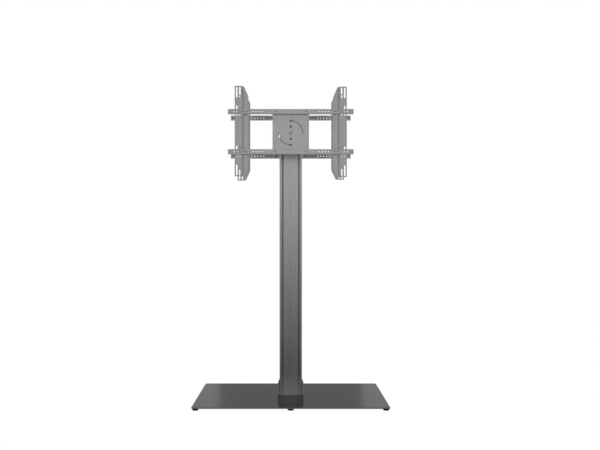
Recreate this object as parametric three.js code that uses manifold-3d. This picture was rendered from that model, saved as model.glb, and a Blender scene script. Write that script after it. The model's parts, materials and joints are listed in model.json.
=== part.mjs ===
// A floor stand that carries two displays back to back on one column.
// Millimetres, +Z up, -Y towards the front display, origin on the floor under the middle of the base.

import * as THREE from 'three';
import { mergeVertices } from 'three/addons/utils/BufferGeometryUtils.js';
import Module from 'manifold-3d';

const wasm = await Module();
wasm.setup();

// Fits that every piece shares
const seatGap = 0.3; // left between two faces that bear on each other
const holeGap = 0.3; // left round a shank in its hole, on the radius
const overrun = 5; // how far a cut runs past the surface that it opens

// How finely round shapes are divided
const boltSteps = 10;
const rimSteps = 18;
const discSteps = 40;
const perforationSteps = 8;
const cornerSteps = 6;
const slotEndSteps = 3;
const railCornerSteps = 2;
const nutSides = 6;

// Base plate
const plateWidth = 900;
const plateDepth = 600;
const plateThickness = 6;
const plateCornerRadius = 12;

// Levelling feet, screwed into the plate from below
const footHeight = 9;
const footTopRadius = 16;
const footBottomRadius = 13;
const footRimHeight = 2.5;
const footEdgeRadius = 1.2;
const footStudRadius = 4;
const footStudRecess = 0.6; // from the plate's top down to the stud's end
const footInsetX = 18; // from the plate's side to the foot's axis
const footInsetY = 20; // from the plate's front or rear edge to the foot's axis

// Column extrusion
const columnWidth = 110;
const columnDepth = 85;
const columnLength = 1380;
const columnSetback = 25; // the column's middle lies this far behind the base's middle
const flankWidth = 10.5; // width and depth of the elliptical corner
const flankDepth = 25;
const columnWall = 3.5;

// T-slots in the front and rear faces of the column
const slotSpacing = 80; // between the two slots of one face
const slotMouth = 8.6;
const slotCavityWidth = 15;
const slotCavityDepth = 8;
const slotLip = 5;

// Webs inside the column, and the cable ducts behind the covers
const ductWidth = 60;
const ductDepth = 29.5;
const webThickness = 2.5;

// Cover strips over the cable ducts
const coverWidth = 69.2;
const coverThickness = 2;
const coverLegThickness = 2;
const coverLegDepth = 10;
const coverBarb = 1.2;
const coverBarbHeight = 3;
const coverLegPlay = 1.6; // between a leg and the duct's wall
const coverGrooveWidth = 1.4;
const coverGrooveDepth = 0.6;

// Top cap
const capThickness = 3;
const capPlugDepth = 12;
const capPlugPlay = 0.5;

// Cheeks welded to the plate, which hold the column's foot
const cheekThickness = 8;
const cheekWidth = 58;
const cheekHeight = 68;
const cheekBevelHeight = 18;
const cheekTopThickness = 1.5;
const cheekBoltSpacing = 24;
const cheekBoltHeight = 28; // above the plate's top
const cheekHeadRadius = 6;
const cheekHeadDepth = 4;
const cheekShankRadius = 3;
const cheekBoltReach = 4; // past the inside of the column's wall

// The two mounts: height of their pivot above the floor
const pivotHeight = 1287.6;

// Carriage, a lipped channel that is clamped to the T-slots
const carriageWidth = 105;
const carriageHeight = 150;
const carriageDepth = 36.9;
const carriageSheet = 4;
const carriageLipWidth = 22;
const carriageClampSpacing = 100; // between the two studs of one clamp
const carriageWindow = 46; // height of the opening in each side wall

// Clamps: a bar in the T-slot, with two studs and their nuts
const clampBarLength = 124;
const clampBarWidth = 13;
const clampBarDepth = 5;
const studRadius = 3.6;
const studReach = 3; // past the nut
const nutRadius = 7.5;
const nutHeight = 6;

// Plastic bearing disc
const discRadius = 52;
const discThickness = 3;

// Centre plate, which turns on the pivot
const headWidth = 176;
const headHeight = 214;
const headSheet = 3;
const guideRadius = 58; // of the curved slots and their bolts about the pivot
const guideShankRadius = 2.5;
const accessHoleRadius = 3.8; // of the holes right through to the carriage
const accessHoleHeight = 29; // above and below the pivot

// Pivot and guide bolts
const pivotShankRadius = 5;
const pivotHeadRadius = 8;
const guideHeadRadius = 6.6;
const boltHeadHeight = 5;
const boltReach = 2; // past the nut

// Rails
const railLength = 604;
const railHeight = 24.4;
const railDepth = 12;
const railSheet = 2;
const railMouth = 6.8;
const railCornerRadius = 2.5;
const railSpacing = 192.8;
const railMiddleRise = 4.4; // how far the middle between the two rails lies above the pivot
const railBoltSpacing = 150;
const perforationRadius = 2.9;
const perforationPitch = 15;
const perforationRowLength = 135; // between the first and the last hole of a row
const perforationEndInset = 30.5; // from the rail's end to the last hole

// Slide nuts and their bolts, which hold the rails to the centre plate and the arms to the rails
const slideNutWidth = 14;
const slideNutHeight = 18;
const slideNutDepth = 5.5;
const slideShankRadius = 3;
const slideHeadRadius = 6;
const slideHeadHeight = 5;
const slideBoltReach = 1.5; // past the nut

// Arms
const armHeight = 434;
const armRise = 2; // the left arm stands this far above the rails' middle, and the right one below it
const armSheet = 2.5;
const armEndInset = 33; // from the rail's end to the arm's outer edge, as the arm stands here
const armFlangeWidth = 35; // from the outer edge to the step between the two flanges
const armInnerWidth = 28.8; // from the step to the inner edge
const armChamferWidth = 21.6; // chamfer at either end of the inner edge
const armChamferHeight = 46.4;
const armWindowPlay = 1.2; // round the rail
const armClampInset = 11.5; // from the inner edge to the clamp bolt's axis

// Slots in the arm's outer flange for the display's screws
const displaySlotWidth = 7;
const displaySlotLong = 54;
const displaySlotShort = 51;
const displayLongRowHeight = 97; // of the long slots' middles above and below the arm's middle
const displayShortRowHeight = 186.5;
const displayOuterColumnInset = 10; // from the arm's outer edge to the middle of a column of slots
const displayInnerColumnInset = 25;

// Places that follow from the sizes above
const plateBottom = footHeight + seatGap;
const plateTop = plateBottom + plateThickness;
const columnBottom = plateTop + seatGap;
const columnTop = columnBottom + columnLength;
const faceDepth = columnDepth / 2;

// Depths of the mount's layers, counted outwards from the column's middle plane
const carriageBack = faceDepth + seatGap;
const carriageFront = carriageBack + carriageDepth;
const discBack = carriageFront + seatGap;
const discFront = discBack + discThickness;
const headBack = discFront + seatGap;
const headFront = headBack + headSheet;
const railBack = headFront + seatGap;
const railFront = railBack + railDepth;
const armPlateFront = railBack - seatGap;
const armPlateBack = armPlateFront - armSheet;
const armFlangeBack = railFront + seatGap;
const armFlangeFront = armFlangeBack + armSheet;

// Places of the arm across the mount, counted from its middle
const armOuterEdge = railLength / 2 - armEndInset;
const armStep = armOuterEdge - armFlangeWidth;
const armInnerEdge = armStep - armInnerWidth;
const armChamferEdge = armInnerEdge + armChamferWidth;

// Materials
function paint(color, roughness, metalness) {
  return new THREE.MeshStandardMaterial({ color, roughness, metalness });
}
const finishes = {
  basePaint: paint(0x3c3d3f, 0.2, 0),
  steelPaint: paint(0x969799, 0.5, 0),
  anodised: paint(0x959698, 0.45, 0.2),
  cover: paint(0x929395, 0.5, 0.2),
  rubber: paint(0x161616, 0.8, 0),
  plastic: paint(0x202124, 0.6, 0),
  greyPlastic: paint(0x8b8c8e, 0.6, 0),
  bolt: paint(0x303134, 0.4, 0.8),
};

// A closed geometry as a solid that can be joined and cut
function solid(geometry) {
  const bare = geometry.clone();
  bare.deleteAttribute('normal');
  bare.deleteAttribute('uv');
  const merged = mergeVertices(bare);
  return new wasm.Manifold(new wasm.Mesh({
    numProp: 3,
    vertProperties: new Float32Array(merged.attributes.position.array),
    triVerts: new Uint32Array(merged.index.array),
  }));
}

// A named mesh from a finished solid
function piece(name, body, finish) {
  const mesh = body.getMesh();
  const geometry = new THREE.BufferGeometry();
  geometry.setAttribute('position', new THREE.BufferAttribute(new Float32Array(mesh.vertProperties), 3));
  geometry.setIndex(new THREE.BufferAttribute(new Uint32Array(mesh.triVerts), 1));
  geometry.computeVertexNormals();
  const result = new THREE.Mesh(geometry, finishes[finish]);
  result.name = name;
  return result;
}

// A block between two corners
function block(x0, x1, y0, y1, z0, z1) {
  const geometry = new THREE.BoxGeometry(x1 - x0, y1 - y0, z1 - z0);
  geometry.translate((x0 + x1) / 2, (y0 + y1) / 2, (z0 + z1) / 2);
  return solid(geometry);
}

// A block of a mount, with its depth counted outwards from the column's middle plane
function layer(x0, x1, back, front, z0, z1) {
  return block(x0, x1, -front, -back, z0, z1);
}

// An outline in X and Y, drawn out along Z
function prismZ(shape, z0, z1) {
  const geometry = new THREE.ExtrudeGeometry(shape, {
    depth: z1 - z0, bevelEnabled: false, curveSegments: cornerSteps,
  });
  geometry.translate(0, 0, z0);
  return solid(geometry);
}

// An outline in X and Z, drawn out between two depths of a mount
function prismOut(shape, back, front, steps = slotEndSteps) {
  const geometry = new THREE.ExtrudeGeometry(shape, {
    depth: front - back, bevelEnabled: false, curveSegments: steps,
  });
  geometry.rotateX(Math.PI / 2);
  geometry.translate(0, -back, 0);
  return solid(geometry);
}

// An outline in Y and Z, drawn out along X
function prismX(shape, x0, x1) {
  const geometry = new THREE.ExtrudeGeometry(shape, {
    depth: x1 - x0, bevelEnabled: false, curveSegments: railCornerSteps,
  });
  geometry.rotateX(Math.PI / 2);
  geometry.rotateZ(Math.PI / 2);
  geometry.translate(x0, 0, 0);
  return solid(geometry);
}

// A round bar of a mount between two depths
function barOut(radius, x, z, back, front, steps = boltSteps) {
  const geometry = new THREE.CylinderGeometry(radius, radius, front - back, steps);
  geometry.translate(x, -(back + front) / 2, z);
  return solid(geometry);
}

// A round bar along X
function barX(radius, y, z, x0, x1, steps = boltSteps) {
  const geometry = new THREE.CylinderGeometry(radius, radius, x1 - x0, steps);
  geometry.rotateZ(-Math.PI / 2);
  geometry.translate((x0 + x1) / 2, y, z);
  return solid(geometry);
}

// A round bar along Z
function barZ(radius, x, y, z0, z1, steps = boltSteps) {
  const geometry = new THREE.CylinderGeometry(radius, radius, z1 - z0, steps);
  geometry.rotateX(Math.PI / 2);
  geometry.translate(x, y, (z0 + z1) / 2);
  return solid(geometry);
}

// A closed outline through the given points
function outline(points) {
  const shape = new THREE.Shape();
  shape.moveTo(points[0][0], points[0][1]);
  for (const [u, v] of points.slice(1)) {
    shape.lineTo(u, v);
  }
  shape.closePath();
  return shape;
}

// A rectangle about the origin with elliptical corners
function roundedRectangle(width, height, cornerWidth, cornerHeight) {
  const u = width / 2 - cornerWidth;
  const v = height / 2 - cornerHeight;
  const quarter = Math.PI / 2;
  const shape = new THREE.Shape();
  shape.moveTo(u + cornerWidth, -v);
  shape.lineTo(u + cornerWidth, v);
  shape.absellipse(u, v, cornerWidth, cornerHeight, 0, quarter);
  shape.lineTo(-u, v + cornerHeight);
  shape.absellipse(-u, v, cornerWidth, cornerHeight, quarter, Math.PI);
  shape.lineTo(-u - cornerWidth, -v);
  shape.absellipse(-u, -v, cornerWidth, cornerHeight, Math.PI, Math.PI + quarter);
  shape.lineTo(u, -v - cornerHeight);
  shape.absellipse(u, -v, cornerWidth, cornerHeight, Math.PI + quarter, Math.PI * 2);
  return shape;
}

// An upright slot with round ends
function uprightSlot(x, z, width, length) {
  const radius = width / 2;
  const reach = length / 2 - radius;
  const shape = new THREE.Shape();
  shape.moveTo(x + radius, z - reach);
  shape.lineTo(x + radius, z + reach);
  shape.absarc(x, z + reach, radius, 0, Math.PI);
  shape.lineTo(x - radius, z - reach);
  shape.absarc(x, z - reach, radius, Math.PI, Math.PI * 2);
  return shape;
}

// A curved slot about the origin with round ends, from one angle on to a larger one
function curvedSlot(radius, width, from, to) {
  const half = width / 2;
  const shape = new THREE.Shape();
  shape.absarc(0, 0, radius + half, from, to);
  shape.absarc(radius * Math.cos(to), radius * Math.sin(to), half, to, to + Math.PI);
  shape.absarc(0, 0, radius - half, to, from, true);
  shape.absarc(radius * Math.cos(from), radius * Math.sin(from), half, from + Math.PI, from + Math.PI * 2);
  return shape;
}

// Places of the six feet, as shares of the distance from the middle to the outer feet
const footPlaceShares = {
  foot_front_left: [-1, -1],
  foot_front_middle: [0, -1],
  foot_front_right: [1, -1],
  foot_rear_left: [-1, 1],
  foot_rear_middle: [0, 1],
  foot_rear_right: [1, 1],
};
const footReachX = plateWidth / 2 - footInsetX;
const footReachY = plateDepth / 2 - footInsetY;

function basePlate() {
  const sheet = roundedRectangle(plateWidth, plateDepth, plateCornerRadius, plateCornerRadius);
  let body = prismZ(sheet, plateBottom, plateTop);
  for (const [shareX, shareY] of Object.values(footPlaceShares)) {
    const hole = barZ(footStudRadius + holeGap, shareX * footReachX, shareY * footReachY,
      plateBottom - overrun, plateTop + overrun);
    body = body.subtract(hole);
  }
  return piece('base_plate', body, 'basePaint');
}

// One foot: a tapered rubber pad moulded on to the head of a threaded stud
function foot(name, shareX, shareY) {
  const studTop = plateTop - footStudRecess;
  const taperTop = footHeight - footRimHeight;
  const profile = [
    [0, 0],
    [footBottomRadius - footEdgeRadius, 0],
    [footBottomRadius, footEdgeRadius],
    [footTopRadius, taperTop],
    [footTopRadius, footHeight],
    [footStudRadius, footHeight],
    [footStudRadius, studTop],
    [0, studTop],
  ];
  const points = profile.map(([radius, z]) => new THREE.Vector2(radius, z));
  const geometry = new THREE.LatheGeometry(points, rimSteps);
  geometry.rotateX(Math.PI / 2);
  geometry.translate(shareX * footReachX, shareY * footReachY, 0);
  return piece(name, solid(geometry), 'rubber');
}

// The column about its own middle line, open along its four T-slots and its two cable ducts
function column() {
  const section = roundedRectangle(columnWidth, columnDepth, flankWidth, flankDepth);
  let body = prismZ(section, columnBottom, columnTop);
  const bottom = columnBottom - overrun;
  const top = columnTop + overrun;
  const slotMiddle = slotSpacing / 2;
  const cavityFront = faceDepth - slotLip;
  const cavityBack = cavityFront - slotCavityDepth;
  const landDepth = faceDepth - coverThickness - seatGap;
  const landReach = slotMiddle - slotMouth / 2;
  const ductBack = faceDepth - ductDepth;
  const spineOuter = ductWidth / 2 + webThickness;
  const chamberOuter = columnWidth / 2 - columnWall;
  const chamberReach = cavityBack - webThickness;
  for (const face of [-1, 1]) {
    const span = (back, front) => [Math.min(face * back, face * front), Math.max(face * back, face * front)];
    body = body.subtract(block(-landReach, landReach, ...span(landDepth, faceDepth + overrun), bottom, top));
    body = body.subtract(block(-ductWidth / 2, ductWidth / 2, ...span(ductBack, faceDepth), bottom, top));
    for (const side of [-1, 1]) {
      const middle = side * slotMiddle;
      body = body.subtract(block(middle - slotMouth / 2, middle + slotMouth / 2,
        ...span(cavityFront - seatGap, faceDepth + overrun), bottom, top));
      body = body.subtract(block(middle - slotCavityWidth / 2, middle + slotCavityWidth / 2,
        ...span(cavityBack, cavityFront), bottom, top));
    }
  }
  for (const side of [-1, 1]) {
    const inner = side > 0 ? spineOuter : -chamberOuter;
    const outer = side > 0 ? chamberOuter : -spineOuter;
    body = body.subtract(block(inner, outer, -chamberReach, chamberReach, bottom, top));
    for (const end of [-1, 1]) {
      const hole = barX(cheekShankRadius + holeGap, end * cheekBoltSpacing / 2, plateTop + cheekBoltHeight,
        Math.min(side * spineOuter, side * (columnWidth / 2 + overrun)),
        Math.max(side * spineOuter, side * (columnWidth / 2 + overrun)));
      body = body.subtract(hole);
    }
  }
  const coreReach = ductBack - webThickness;
  body = body.subtract(block(-ductWidth / 2, ductWidth / 2, -coreReach, coreReach, bottom, top));
  return piece('column', body, 'anodised');
}

// A cover strip on the front of the column: a flush face with two snap legs and a fine centre groove
function coverStrip(name) {
  const front = faceDepth;
  const back = faceDepth - coverThickness;
  const legOuter = ductWidth / 2 - coverLegPlay;
  let body = layer(-coverWidth / 2, coverWidth / 2, back, front, columnBottom, columnTop);
  for (const side of [-1, 1]) {
    const legInner = legOuter - coverLegThickness;
    const barbOuter = legOuter + coverBarb;
    const legEnd = back - coverLegDepth;
    body = body.add(layer(
      Math.min(side * legInner, side * legOuter), Math.max(side * legInner, side * legOuter),
      legEnd, back + coverThickness / 2, columnBottom, columnTop));
    body = body.add(layer(
      Math.min(side * legInner, side * barbOuter), Math.max(side * legInner, side * barbOuter),
      legEnd, legEnd + coverBarbHeight, columnBottom, columnTop));
  }
  body = body.subtract(layer(-coverGrooveWidth / 2, coverGrooveWidth / 2, front - coverGrooveDepth,
    front + overrun, columnBottom - overrun, columnTop + overrun));
  return piece(name, body, 'cover');
}

function topCap() {
  const bottom = columnTop + seatGap;
  const section = roundedRectangle(columnWidth, columnDepth, flankWidth, flankDepth);
  let body = prismZ(section, bottom, bottom + capThickness);
  const inner = ductWidth / 2 + webThickness + capPlugPlay;
  const outer = columnWidth / 2 - columnWall - capPlugPlay;
  const reach = faceDepth - slotLip - slotCavityDepth - webThickness - capPlugPlay;
  for (const side of [-1, 1]) {
    body = body.add(block(Math.min(side * inner, side * outer), Math.max(side * inner, side * outer),
      -reach, reach, columnTop - capPlugDepth, bottom + capThickness / 2));
  }
  return piece('column_top_cap', body, 'plastic');
}

// A cheek beside the column's foot, with its outer face bevelled towards the top
function cheek(name, side) {
  const inner = columnWidth / 2 + seatGap;
  const outer = inner + cheekThickness;
  const bottom = plateTop + seatGap;
  const top = bottom + cheekHeight;
  const profile = outline([
    [side * inner, bottom],
    [side * outer, bottom],
    [side * outer, top - cheekBevelHeight],
    [side * (inner + cheekTopThickness), top],
    [side * inner, top],
  ]);
  let body = prismOut(profile, -cheekWidth / 2, cheekWidth / 2);
  for (const end of [-1, 1]) {
    const y = end * cheekBoltSpacing / 2;
    const z = plateTop + cheekBoltHeight;
    const far = side * (outer + overrun);
    const near = side * (inner - overrun);
    const floor = side * (outer - cheekHeadDepth - seatGap);
    body = body.subtract(barX(cheekShankRadius + holeGap, y, z, Math.min(near, far), Math.max(near, far)));
    body = body.subtract(barX(cheekHeadRadius + holeGap, y, z, Math.min(floor, far), Math.max(floor, far)));
  }
  return piece(name, body, 'steelPaint');
}

// A bolt that holds the column's foot between the cheeks, with its head sunk in the cheek
function cheekBolt(name, side, end) {
  const outer = columnWidth / 2 + seatGap + cheekThickness;
  const tip = columnWidth / 2 - columnWall - cheekBoltReach;
  const y = end * cheekBoltSpacing / 2;
  const z = plateTop + cheekBoltHeight;
  const neck = outer - cheekHeadDepth;
  const head = barX(cheekHeadRadius, y, z,
    Math.min(side * neck, side * outer), Math.max(side * neck, side * outer));
  const shank = barX(cheekShankRadius, y, z, Math.min(side * tip, side * (neck + cheekHeadDepth / 2)),
    Math.max(side * tip, side * (neck + cheekHeadDepth / 2)));
  return piece(name, head.add(shank), 'bolt');
}

function carriage(name) {
  const half = carriageWidth / 2;
  const reach = carriageHeight / 2;
  const lipInner = half - carriageLipWidth;
  let body = layer(-half, half, carriageBack, carriageFront, -reach, reach);
  body = body.subtract(layer(-half + carriageSheet, half - carriageSheet, carriageBack + carriageSheet,
    carriageFront - carriageSheet, -reach - overrun, reach + overrun));
  body = body.subtract(layer(-lipInner, lipInner,
    carriageBack - overrun, carriageBack + carriageSheet + overrun, -reach - overrun, reach + overrun));
  body = body.subtract(layer(-half - overrun, half + overrun, carriageBack + carriageSheet,
    carriageFront - carriageSheet, -carriageWindow / 2, carriageWindow / 2));
  for (const side of [-1, 1]) {
    body = body.subtract(barOut(guideShankRadius + holeGap, 0, side * guideRadius,
      carriageFront - carriageSheet - overrun, carriageFront + overrun));
    body = body.subtract(barOut(accessHoleRadius, 0, side * accessHoleHeight,
      carriageFront - carriageSheet - overrun, carriageFront + overrun));
    for (const end of [-1, 1]) {
      body = body.subtract(barOut(studRadius + holeGap,
        side * slotSpacing / 2, end * carriageClampSpacing / 2,
        carriageBack - overrun, carriageBack + carriageSheet + overrun));
    }
  }
  body = body.subtract(barOut(pivotShankRadius + holeGap, 0, 0,
    carriageFront - carriageSheet - overrun, carriageFront + overrun));
  return piece(name, body, 'steelPaint');
}

// A clamp bar in one T-slot with the two studs and nuts that pull the carriage's lip on to the column
function slotClamp(name, side) {
  const middle = side * slotSpacing / 2;
  const barFront = faceDepth - slotLip - seatGap;
  const barBack = barFront - clampBarDepth;
  const nutBack = carriageBack + carriageSheet + seatGap;
  const nutFront = nutBack + nutHeight;
  let body = layer(middle - clampBarWidth / 2, middle + clampBarWidth / 2, barBack, barFront,
    -clampBarLength / 2, clampBarLength / 2);
  for (const end of [-1, 1]) {
    const z = end * carriageClampSpacing / 2;
    body = body.add(barOut(studRadius, middle, z, barFront - clampBarDepth / 2, nutFront + studReach));
    body = body.add(barOut(nutRadius, middle, z, nutBack, nutFront, nutSides));
  }
  return piece(name, body, 'bolt');
}

function bearingDisc(name) {
  let body = barOut(discRadius, 0, 0, discBack, discFront, discSteps);
  body = body.subtract(barOut(pivotShankRadius + holeGap, 0, 0, discBack - overrun, discFront + overrun));
  for (const side of [-1, 1]) {
    body = body.subtract(barOut(accessHoleRadius, 0, side * accessHoleHeight, discBack - overrun,
      discFront + overrun));
  }
  return piece(name, body, 'greyPlastic');
}

// A bolt through the centre plate and the carriage's front wall, with its nut behind that wall
function headBolt(name, z, shankRadius, headRadius) {
  const headSeat = headFront + seatGap;
  const nutFront = carriageFront - carriageSheet - seatGap;
  const nutBack = nutFront - nutHeight;
  let body = barOut(shankRadius, 0, z, nutBack - boltReach, headSeat + boltHeadHeight / 2);
  body = body.add(barOut(headRadius, 0, z, headSeat, headSeat + boltHeadHeight));
  body = body.add(barOut(headRadius, 0, z, nutBack, nutFront, nutSides));
  return piece(name, body, 'steelPaint');
}

// The plate that turns from upright to crosswise, guided by two bolts in its curved slots
function centrePlate(name) {
  let body = layer(-headWidth / 2, headWidth / 2, headBack, headFront,
    railMiddleRise - headHeight / 2, railMiddleRise + headHeight / 2);
  const back = headBack - overrun;
  const front = headFront + overrun;
  const slotWidth = (guideShankRadius + holeGap) * 2;
  for (const start of [0, Math.PI]) {
    const slot = curvedSlot(guideRadius, slotWidth, start, start + Math.PI / 2);
    body = body.subtract(prismOut(slot, back, front, cornerSteps));
  }
  body = body.subtract(barOut(pivotShankRadius + holeGap, 0, 0, back, front));
  for (const side of [-1, 1]) {
    body = body.subtract(barOut(accessHoleRadius, 0, side * accessHoleHeight, back, front));
    for (const end of [-1, 1]) {
      body = body.subtract(barOut(slideShankRadius + holeGap, side * railBoltSpacing / 2,
        railLevel(end), back, front));
    }
  }
  return piece(name, body, 'steelPaint');
}

// The height of the upper or the lower rail's middle above the pivot
function railLevel(level) {
  return railMiddleRise + level * railSpacing / 2;
}

// A slotted channel with a row of round holes in its front wall at either end
function rail(name, level) {
  const half = railHeight / 2;
  const mouth = railMouth / 2;
  const inner = half - railSheet;
  const back = -railBack;
  const front = -railFront;
  const corner = railCornerRadius;
  const profile = new THREE.Shape();
  profile.moveTo(back, mouth);
  profile.lineTo(back, half);
  profile.lineTo(front + corner, half);
  profile.absarc(front + corner, half - corner, corner, Math.PI / 2, Math.PI);
  profile.lineTo(front, corner - half);
  profile.absarc(front + corner, corner - half, corner, Math.PI, Math.PI * 1.5);
  profile.lineTo(back, -half);
  profile.lineTo(back, -mouth);
  profile.lineTo(back - railSheet, -mouth);
  profile.lineTo(back - railSheet, -inner);
  profile.lineTo(front + railSheet, -inner);
  profile.lineTo(front + railSheet, inner);
  profile.lineTo(back - railSheet, inner);
  profile.lineTo(back - railSheet, mouth);
  profile.closePath();
  let body = prismX(profile, -railLength / 2, railLength / 2);
  const places = [railBoltSpacing / 2];
  const steps = Math.round(perforationRowLength / perforationPitch);
  for (let index = 0; index <= steps; index += 1) {
    places.push(railLength / 2 - perforationEndInset - index * perforationPitch);
  }
  for (const place of places) {
    for (const side of [-1, 1]) {
      body = body.subtract(barOut(perforationRadius, side * place, 0, railFront - railSheet * 2,
        railFront + overrun, perforationSteps));
    }
  }
  return piece(name, body.translate([0, 0, railLevel(level)]), 'steelPaint');
}

// A bolt from behind a plate into a slide nut inside a rail
function slideBolt(name, x, z, plateBack) {
  const headFrontFace = plateBack - seatGap;
  const nutBack = railBack + railSheet + seatGap;
  const nutFront = nutBack + slideNutDepth;
  let body = barOut(slideShankRadius, x, z, headFrontFace - slideHeadHeight / 2, nutFront + slideBoltReach);
  body = body.add(barOut(slideHeadRadius, x, z, headFrontFace - slideHeadHeight, headFrontFace, nutSides));
  body = body.add(layer(x - slideNutWidth / 2, x + slideNutWidth / 2, nutBack, nutFront,
    z - slideNutHeight / 2, z + slideNutHeight / 2));
  return piece(name, body, 'bolt');
}

// An arm: an outer flange in front of the rails and an inner one behind them, joined by a step.
// Both arms are one part, and the right one is that part turned upside down.
function arm(name, side) {
  const reach = armHeight / 2;
  const armInnerCorner = reach - armChamferHeight;
  const span = (a, b) => [Math.min(side * a, side * b), Math.max(side * a, side * b)];
  const inner = outline([
    [side * armInnerEdge, -armInnerCorner],
    [side * armChamferEdge, -reach],
    [side * armStep, -reach],
    [side * armStep, reach],
    [side * armChamferEdge, reach],
    [side * armInnerEdge, armInnerCorner],
  ]);
  let body = prismOut(inner, armPlateBack, armPlateFront);
  body = body.add(layer(...span(armStep - armSheet, armStep), armPlateBack, armFlangeFront, -reach, reach));
  body = body.add(layer(...span(armStep - armSheet, armOuterEdge),
    armFlangeBack, armFlangeFront, -reach, reach));
  for (const level of [-1, 1]) {
    const middle = level * railSpacing / 2 + side * armRise;
    const window = railHeight / 2 + armWindowPlay;
    body = body.subtract(layer(...span(armStep - armSheet * 2, armStep + armSheet),
      armPlateFront, armFlangeBack, middle - window, middle + window));
    body = body.subtract(barOut(slideShankRadius + holeGap, side * (armInnerEdge + armClampInset), middle,
      armPlateBack - overrun, armPlateFront + overrun));
    for (const inset of [displayOuterColumnInset, displayInnerColumnInset]) {
      const place = side * (armOuterEdge - inset);
      for (const [row, length] of [
        [displayLongRowHeight, displaySlotLong],
        [displayShortRowHeight, displaySlotShort],
      ]) {
        const slot = uprightSlot(place, level * row, displaySlotWidth, length);
        body = body.subtract(prismOut(slot, armFlangeBack - overrun, armFlangeFront + overrun));
      }
    }
  }
  return piece(name, body.translate([0, 0, railMiddleRise - side * armRise]), 'steelPaint');
}

// One complete mount about the column's middle line, facing -Y, with its pivot at height 0.
// Left and right are as seen by someone who faces that mount.
function mount(prefix) {
  const group = new THREE.Group();
  group.add(carriage(`${prefix}_carriage`));
  group.add(bearingDisc(`${prefix}_bearing_disc`));
  group.add(headBolt(`${prefix}_pivot_bolt`, 0, pivotShankRadius, pivotHeadRadius));
  group.add(centrePlate(`${prefix}_centre_plate`));
  for (const [level, height] of [[1, 'upper'], [-1, 'lower']]) {
    group.add(headBolt(`${prefix}_guide_bolt_${height}`, level * guideRadius,
      guideShankRadius, guideHeadRadius));
    group.add(rail(`${prefix}_rail_${height}`, level));
    for (const [side, hand] of [[-1, 'left'], [1, 'right']]) {
      const z = railLevel(level);
      group.add(slideBolt(`${prefix}_rail_bolt_${height}_${hand}`, side * railBoltSpacing / 2, z, headBack));
      group.add(slideBolt(`${prefix}_arm_bolt_${height}_${hand}`, side * (armInnerEdge + armClampInset), z,
        armPlateBack));
    }
  }
  for (const [side, hand] of [[-1, 'left'], [1, 'right']]) {
    group.add(slotClamp(`${prefix}_slot_clamp_${hand}`, side));
    group.add(arm(`${prefix}_arm_${hand}`, side));
  }
  group.position.set(0, columnSetback, pivotHeight);
  return group;
}

function base() {
  const group = new THREE.Group();
  group.add(basePlate());
  for (const [name, [shareX, shareY]] of Object.entries(footPlaceShares)) {
    group.add(foot(name, shareX, shareY));
  }
  return group;
}

function columnGroup() {
  const group = new THREE.Group();
  group.add(column());
  group.add(coverStrip('front_cover_strip'));
  const rearCover = coverStrip('rear_cover_strip');
  rearCover.rotation.z = Math.PI;
  group.add(rearCover);
  group.add(topCap());
  for (const [side, hand] of [[-1, 'left'], [1, 'right']]) {
    group.add(cheek(`column_cheek_${hand}`, side));
    for (const [end, place] of [[-1, 'front'], [1, 'rear']]) {
      group.add(cheekBolt(`cheek_bolt_${hand}_${place}`, side, end));
    }
  }
  group.position.y = columnSetback;
  return group;
}

const stand = new THREE.Group();
stand.add(base());
stand.add(columnGroup());
stand.add(mount('front'));
const rearMount = mount('rear');
rearMount.rotation.z = Math.PI;
stand.add(rearMount);

export default stand;
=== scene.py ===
"""Dresses a display floor stand with two turning mounts: its fine shapes, finishes, light and camera."""

import json
import math

import bmesh
import bpy
from mathutils import Matrix, Vector
from mathutils.geometry import tessellate_polygon

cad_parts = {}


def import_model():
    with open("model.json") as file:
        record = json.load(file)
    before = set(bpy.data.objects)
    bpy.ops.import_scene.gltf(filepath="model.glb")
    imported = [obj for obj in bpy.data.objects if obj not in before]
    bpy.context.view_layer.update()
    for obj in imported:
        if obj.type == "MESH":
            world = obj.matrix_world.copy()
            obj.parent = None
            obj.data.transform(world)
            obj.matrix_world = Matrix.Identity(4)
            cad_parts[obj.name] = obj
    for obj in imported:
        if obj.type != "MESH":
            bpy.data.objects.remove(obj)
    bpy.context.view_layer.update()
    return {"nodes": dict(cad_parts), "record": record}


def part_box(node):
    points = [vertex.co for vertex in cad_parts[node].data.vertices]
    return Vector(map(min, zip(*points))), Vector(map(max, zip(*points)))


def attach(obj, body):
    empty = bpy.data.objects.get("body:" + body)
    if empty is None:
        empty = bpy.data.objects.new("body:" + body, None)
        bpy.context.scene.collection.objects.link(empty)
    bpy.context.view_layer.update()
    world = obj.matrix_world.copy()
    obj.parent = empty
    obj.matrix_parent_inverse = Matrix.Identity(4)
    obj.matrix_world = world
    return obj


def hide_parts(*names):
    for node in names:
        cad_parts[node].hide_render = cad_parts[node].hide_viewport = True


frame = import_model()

MM = 0.001
FULL_TURN = math.tau
QUARTER = math.pi / 2

# How finely shapes are divided
TURNED_STEPS = 48
DISC_STEPS = 96
HOLE_STEPS = 24
ARC_STEPS = 10
FILLET_STEPS = 4
EDGE_STEPS = 3
PAD_STEPS = 5
FOLD_STEPS = 8
SHARP_ANGLE = math.radians(34)
STRAIGHT_ANGLE = math.radians(179)

# Edges, folds and gaps
SHEET_EDGE = 0.35 * MM
THICK_EDGE = 0.5 * MM
EDGE_REACH_SHARE = 0.48
FOLD_MARGIN = 0.2 * MM
HOLE_GAP = 0.3 * MM
SEAT_GAP = 0.3 * MM
SAME_POINT = 0.0001 * MM

# Base plate
PLATE_CORNER = 12 * MM
PLATE_EDGE = 2 * MM

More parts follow.
